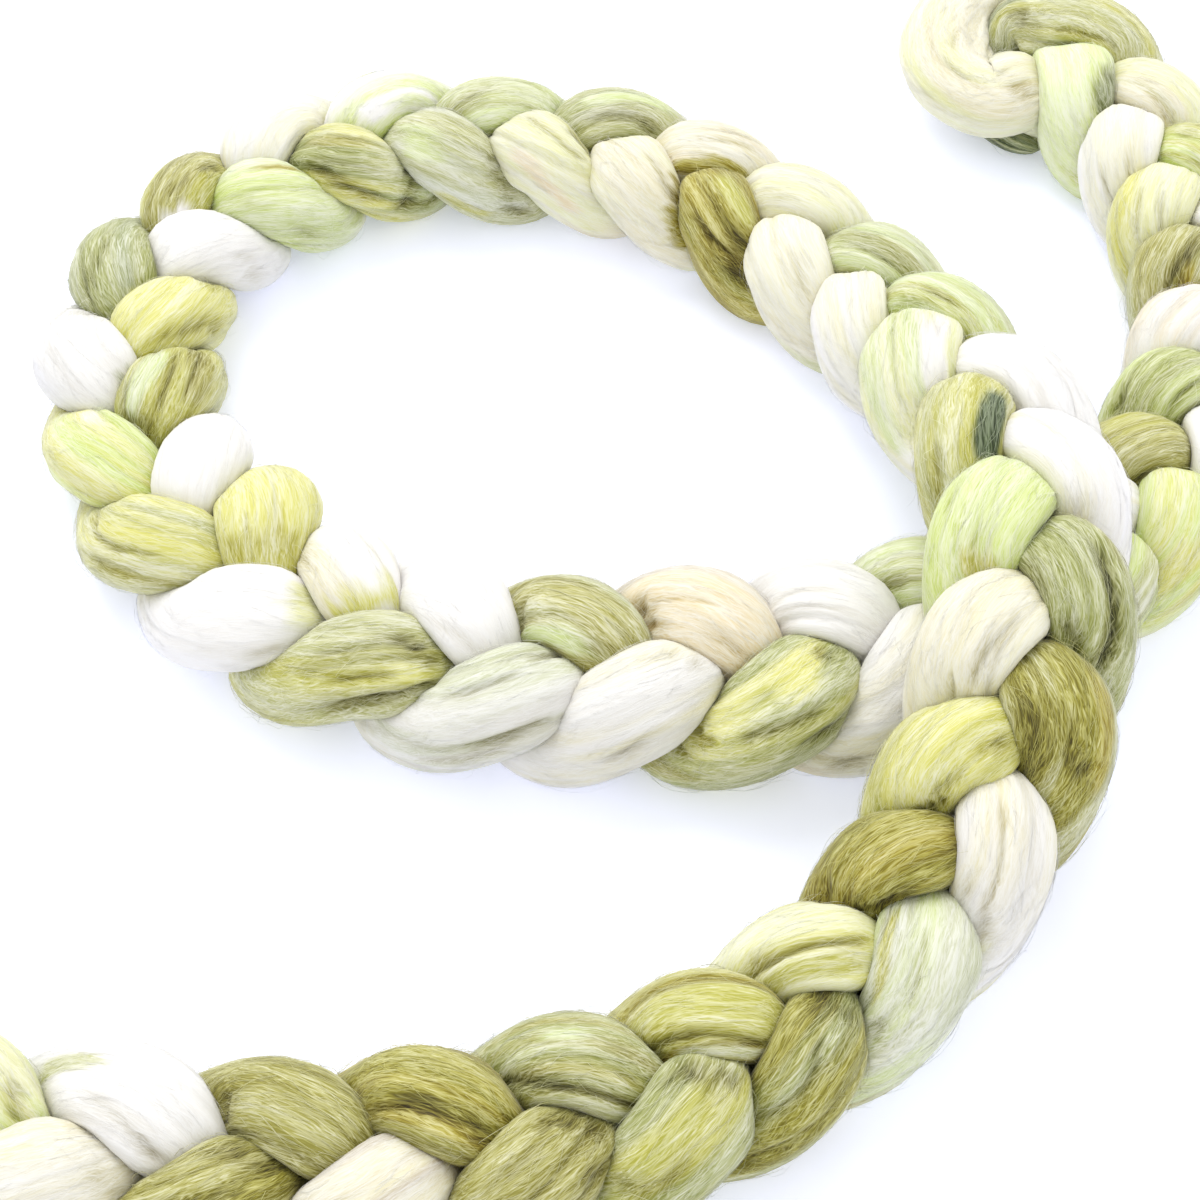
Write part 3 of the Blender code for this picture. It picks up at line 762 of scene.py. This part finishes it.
def wool_material(name):
    """Dyed wool: the dye with painted shade in its folds, grooves and pressed places, deeper in
    broad streaks, with pale single fibres over it, a soft sheen, and a fine fibre relief."""
    material = bpy.data.materials.new(name)
    material.use_nodes = True
    tree = material.node_tree
    link = tree.links.new
    shader = tree.nodes["Principled BSDF"]
    dye_and_shade = node(tree, "ShaderNodeAttribute", (-900, 300), attribute_name="dye_and_shade")
    place = node(tree, "ShaderNodeAttribute", (-900, 0), attribute_name="fibre_place")
    fibres = node(tree, "ShaderNodeGroup", (-700, 0), node_tree=COMBED_FIBRES)
    link(place.outputs["Vector"], fibres.inputs[0])
    smoother = node(tree, "ShaderNodeMapRange", (-700, -400))
    smoother.inputs["From Min"].default_value = 0.55
    smoother.inputs["From Max"].default_value = 0.95
    smoother.inputs["To Min"].default_value = 1.0
    smoother.inputs["To Max"].default_value = 0.5
    link(dye_and_shade.outputs["Fac"], smoother.inputs["Value"])
    swing = node(tree, "ShaderNodeMapRange", (-500, 100))
    swing.inputs["To Min"].default_value = 0.78
    swing.inputs["To Max"].default_value = -0.62
    link(fibres.outputs["Tone"], swing.inputs["Value"])
    power = node(tree, "ShaderNodeMath", (-400, 100), operation="MULTIPLY_ADD")
    power.inputs[2].default_value = 1
    link(swing.outputs[0], power.inputs[0])
    link(smoother.outputs[0], power.inputs[1])
    toned = node(tree, "ShaderNodeGamma", (-300, 300))
    link(dye_and_shade.outputs["Color"], toned.inputs["Color"])
    link(power.outputs[0], toned.inputs["Gamma"])
    light = node(tree, "ShaderNodeGamma", (-300, 150))
    light.inputs["Gamma"].default_value = 0.5
    link(dye_and_shade.outputs["Color"], light.inputs["Color"])
    single = node(tree, "ShaderNodeMath", (-300, -150), operation="MULTIPLY")
    single.inputs[1].default_value = 0.45
    link(fibres.outputs["Lines"], single.inputs[0])
    pale = node(tree, "ShaderNodeMix", (-20, 250), data_type="RGBA")
    link(single.outputs[0], pale.inputs["Factor"])
    link(toned.outputs[0], pale.inputs["A"])
    link(light.outputs[0], pale.inputs["B"])
    wool = node(tree, "ShaderNodeVectorMath", (150, 250), operation="SCALE")
    wool.inputs["Scale"].default_value = WOOL_WHITENESS
    link(pale.outputs["Result"], wool.inputs[0])
    link(wool.outputs[0], shader.inputs["Base Color"])
    raised = node(tree, "ShaderNodeMath", (-300, -400), operation="MULTIPLY")
    link(fibres.outputs["Height"], raised.inputs[0])
    link(smoother.outputs[0], raised.inputs[1])
    bump = node(tree, "ShaderNodeBump", (-100, -200))
    bump.inputs["Strength"].default_value = 0.8
    bump.inputs["Distance"].default_value = 0.0007
    link(raised.outputs[0], bump.inputs["Height"])
    link(bump.outputs[0], shader.inputs["Normal"])
    shader.inputs["Roughness"].default_value = 0.6
    shader.inputs["Specular IOR Level"].default_value = 0.35
    shader.inputs["Sheen Weight"].default_value = 0.25
    shader.inputs["Sheen Roughness"].default_value = 0.4
    return material


# Painted shade: the tint that darkens the bottom of a deep fold.
FOLD_SHADE_TINT = (0.43, 0.40, 0.29)  # light that the bottom of a deep fold sends back
FIBRE_PLACE_RADIUS = 0.016  # of the cylinder that the fibres are placed round


def lay_strand(strand):
    """One strand as a piece, with its dye, darkened as painted shade in folds, grooves and pressed
    places, and the place of its fibres: round the strand as on a cylinder, and along it in metres."""
    name = STRANDS[strand]
    skin = strand_skin(strand)
    vertices, faces = closed_tube(skin["point"])
    mesh = bpy.data.meshes.new(f"{name}_wool")
    mesh.from_pydata(vertices.tolist(), [], faces)
    mesh.shade_smooth()
    colour = dyed(strand, skin["lobe"], skin["angle"])
    # Painted shade: the colour goes darker and browner in folds and shaded lobe ends, a little darker
    # in the grooves between bundles, and darker where the strand is pressed against another or the
    # table; darker dyes take more of the fold shade.
    deeper = np.clip(1.9 - 1.8 * colour.mean(-1, keepdims=True), 0.25, 1)
    fold_and_shade = (0.55 + 0.45 * deeper) * skin["fold_and_shade"][..., None]
    fold_and_shade = fold_and_shade + 0.25 * deeper * skin["groove"][..., None]
    contact_shade = np.clip((0.94 - skin["fill"][..., None]) / 0.2, 0, 1)
    colour = colour ** (1 + 0.7 * fold_and_shade + 0.6 * contact_shade) * np.array(FOLD_SHADE_TINT) ** fold_and_shade
    skin["colour"] = colour
    opaque = np.ones(colour.shape[:2] + (1,))
    lay_attribute(mesh, "dye_and_shade", "FLOAT_COLOR", np.concatenate([colour, opaque], -1))
    steps = np.linalg.norm(np.diff(skin["middle"], axis=0), axis=1)
    run = np.concatenate([[0], np.cumsum(steps)])
    around = FIBRE_PLACE_RADIUS * np.stack([np.cos(skin["angle"]), np.sin(skin["angle"])], -1)
    run = np.broadcast_to((run + strand * 5)[:, None, None], (ROWS, SIDES, 1))
    lay_attribute(mesh, "fibre_place", "FLOAT_VECTOR", np.concatenate([around, run], -1))
    mesh.materials.append(wool_material(f"{name}_dyed_shaded_wool"))
    piece = bpy.data.objects.new(f"{name}_wool", mesh)
    scene.collection.objects.link(piece)
    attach(piece, "root")
    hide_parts(name)
    return piece, skin


laid = [lay_strand(strand) for strand in range(3)]


# ---- Loose fibres -----------------------------------------------------------------------------
# Wool is scaly and springy, so single fibres work loose from the combed strands. Most lie over
# the strand they belong to, a little across it; some stand off it or bridge to the next strand.

FIBRES = 4100  # on each strand, at most: fewer are kept where the free surface runs out
FIBRE_STEPS = 6


def loose_fibres(strand, skin):
    """Three-sided tapered tubes. Each fibre starts anywhere on the free surface, runs along the
    strand at a slant with a slow wave, and rises off the surface as half a sine or to a free end.
    Light passes into so thin a fibre, so it is shaded as the surface below it is."""
    rng = np.random.default_rng(strand + 80)
    row = rng.uniform(8, ROWS - 9, FIBRES * 4)
    side = rng.uniform(0, SIDES, FIBRES * 4)
    free = read_grid(skin["fill"], row, side) > rng.uniform(0.75, 1.0, FIBRES * 4)
    high = read_grid(np.sin(skin["angle"]), row, side) > -0.45
    kept = np.flatnonzero(free & high)[:FIBRES]
    row, side = row[kept][:, None], side[kept][:, None]
    count = len(kept)
    part = np.linspace(0, 1, FIBRE_STEPS + 1)[None]
    long = rng.choice((-1, 1), (count, 1)) * rng.uniform(1.2, 6.0, (count, 1))
    slant = rng.normal(0, 4.0, (count, 1)) * part
    wave = rng.normal(0, 1.3, (count, 1))
    wave = wave * np.sin(part * rng.uniform(3, 10, (count, 1)) + rng.uniform(0, 6, (count, 1)))
    row = np.clip(row + long * part, 3, ROWS - 4)
    side = side + slant + wave
    point = read_grid(skin["point"], row, side)
    sideways = read_grid(skin["point"], row, side + 0.5) - read_grid(skin["point"], row, side - 0.5)
    onward = read_grid(skin["point"], row + 0.3, side) - read_grid(skin["point"], row - 0.3, side)
    out = np.cross(onward, sideways)
    out /= np.maximum(np.linalg.norm(out, axis=-1, keepdims=True), 1e-9)
    flies = rng.random((count, 1)) < 0.45
    arch = rng.gamma(1.6, 0.00045, (count, 1)) * np.sin(math.pi * part)
    curl = 1 + 0.5 * np.sin(part * rng.uniform(2, 8, (count, 1)))
    fly = rng.gamma(2.0, 0.0008, (count, 1)) * part**1.3 * curl
    point = point + out * (0.00005 + np.where(flies, fly, arch))[..., None]
    point[..., 2] = np.maximum(point[..., 2], 0.0002)
    way = np.gradient(point, axis=1)
    way /= np.maximum(np.linalg.norm(way, axis=-1, keepdims=True), 1e-9)
    one = np.cross(way, out)
    one /= np.maximum(np.linalg.norm(one, axis=-1, keepdims=True), 1e-9)
    two = np.cross(one, way)
    colour = read_grid(skin["colour"], row, side)
    thick = rng.uniform(0.00005, 0.00009, (count, 1)) * (1 - 0.75 * part**2)
    thick = thick * (1.15 - 0.65 * colour.mean((1, 2))[:, None])
    corner = np.arange(3) * 2 * math.pi / 3
    ring = np.cos(corner)[:, None] * one[:, :, None] + np.sin(corner)[:, None] * two[:, :, None]
    vertices = point[:, :, None] + thick[..., None, None] * ring
    first = np.arange(count)[:, None, None] * (FIBRE_STEPS + 1) * 3
    first = first + np.arange(FIBRE_STEPS)[:, None] * 3
    here, beside = first + np.arange(3), first + np.roll(np.arange(3), -1)
    quads = np.stack([here, here + 3, beside + 3, beside], -1).reshape(-1, 4)
    ends = np.arange(count)[:, None] * (FIBRE_STEPS + 1) * 3
    caps = np.concatenate([ends + np.array((0, 1, 2)), ends + FIBRE_STEPS * 3 + np.array((0, 2, 1))])
    # Each fibre takes the strand's colour below it, painted shade included, made paler: partly the
    # fibres' own lighter look, partly painted light against the shade on so thin a fibre.
    colour = WOOL_WHITENESS * np.clip(colour, 0.01, 1) ** 0.5 * rng.uniform(0.9, 1.12, (count, 1, 1))
    shading = out[:, :, None] + 0.3 * ring
    shading /= np.linalg.norm(shading, axis=-1, keepdims=True)
    return vertices, quads.tolist() + caps.tolist(), np.repeat(colour[:, :, None], 3, axis=2), shading


def fibre_material(name):
    """A single dyed fibre: its dye, with painted shade and painted light in it, and a slight gloss."""
    material = bpy.data.materials.new(name)
    material.use_nodes = True
    tree = material.node_tree
    shader = tree.nodes["Principled BSDF"]
    dye_and_shade = node(tree, "ShaderNodeAttribute", (-500, 300), attribute_name="dye_and_shade")
    tree.links.new(dye_and_shade.outputs["Color"], shader.inputs["Base Color"])
    shader.inputs["Roughness"].default_value = 0.5
    shader.inputs["Specular IOR Level"].default_value = 0.3
    return material


def lay_fibres(strand):
    """The loose fibres of one strand as a piece, shaded as the surface below them."""
    name = STRANDS[strand]
    vertices, faces, colour, shading = loose_fibres(strand, laid[strand][1])
    mesh = bpy.data.meshes.new(f"{name}_fibres")
    mesh.from_pydata(vertices.reshape(-1, 3).tolist(), [], faces)
    mesh.shade_smooth()
    mesh.normals_split_custom_set_from_vertices(shading.reshape(-1, 3).tolist())
    colour = np.concatenate([colour, np.ones(colour.shape[:3] + (1,))], -1)
    dye_and_shade = mesh.attributes.new("dye_and_shade", "FLOAT_COLOR", "POINT")
    dye_and_shade.data.foreach_set("color", colour.astype(np.float32).ravel())
    mesh.materials.append(fibre_material(f"{name}_loose_fibre"))
    piece = bpy.data.objects.new(f"{name}_fibres", mesh)
    scene.collection.objects.link(piece)
    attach(piece, "root")
    return piece


stray = [lay_fibres(strand) for strand in range(3)]

# Points along the braid's middle line, every 0.4 of a lobe, with its lift.
middle_lobes = np.arange(-8.4, 82.1, 0.4)
place, _, lift, _ = braid(middle_lobes)


# ---- The table and the light ------------------------------------------------------------------
# A white table under a broad soft light from above and behind, with cool light from all round.

TABLE_HALF, TABLE_TOP = 3, -0.0004  # the top lies just under the braid
floor_mesh = bpy.data.meshes.new("table")
table_corners = [(-1, -1), (1, -1), (1, 1), (-1, 1)]
table_corners = [(x * TABLE_HALF, y * TABLE_HALF, TABLE_TOP) for x, y in table_corners]
floor_mesh.from_pydata(table_corners, [], [(0, 1, 2, 3)])
floor_material = bpy.data.materials.new("white_table")
floor_material.use_nodes = True
floor_shader = floor_material.node_tree.nodes["Principled BSDF"]
# Painted light and shade on the table: its lavender tint shows only in its shadows, where it stands
# for cool shade, and it glows a little, which lightens and narrows those shadows and lights the braid
# from below.
floor_shader.inputs["Base Color"].default_value = (0.78, 0.795, 0.93, 1)
floor_shader.inputs["Roughness"].default_value = 0.7
floor_shader.inputs["Emission Color"].default_value = (0.86, 0.90, 1.0, 1)
floor_shader.inputs["Emission Strength"].default_value = 0.32
floor_mesh.materials.append(floor_material)
floor = bpy.data.objects.new("table", floor_mesh)
scene.collection.objects.link(floor)

world = bpy.data.worlds.new("room")
world.use_nodes = True
world.node_tree.nodes["Background"].inputs["Color"].default_value = (0.98, 0.985, 1.0, 1)
world.node_tree.nodes["Background"].inputs["Strength"].default_value = 1.15
scene.world = world
scene.view_settings.view_transform = "Standard"


def soft_light(name, place, towards, size, power, colour):
    """A square light that faces a point."""
    data = bpy.data.lights.new(name, "AREA")
    data.size = size
    data.energy = power
    data.color = colour
    light = bpy.data.objects.new(name, data)
    light.location = place
    way = np.array(towards) - np.array(place)
    tilt = math.atan2(math.hypot(way[0], way[1]), -way[2])
    light.rotation_euler = (tilt, 0, math.atan2(way[1], way[0]) - math.pi / 2)
    scene.collection.objects.link(light)


soft_light("window", (-0.6, 2.2, 2.6), (0, 0, 0), 2.5, 70, (1, 0.99, 0.96))
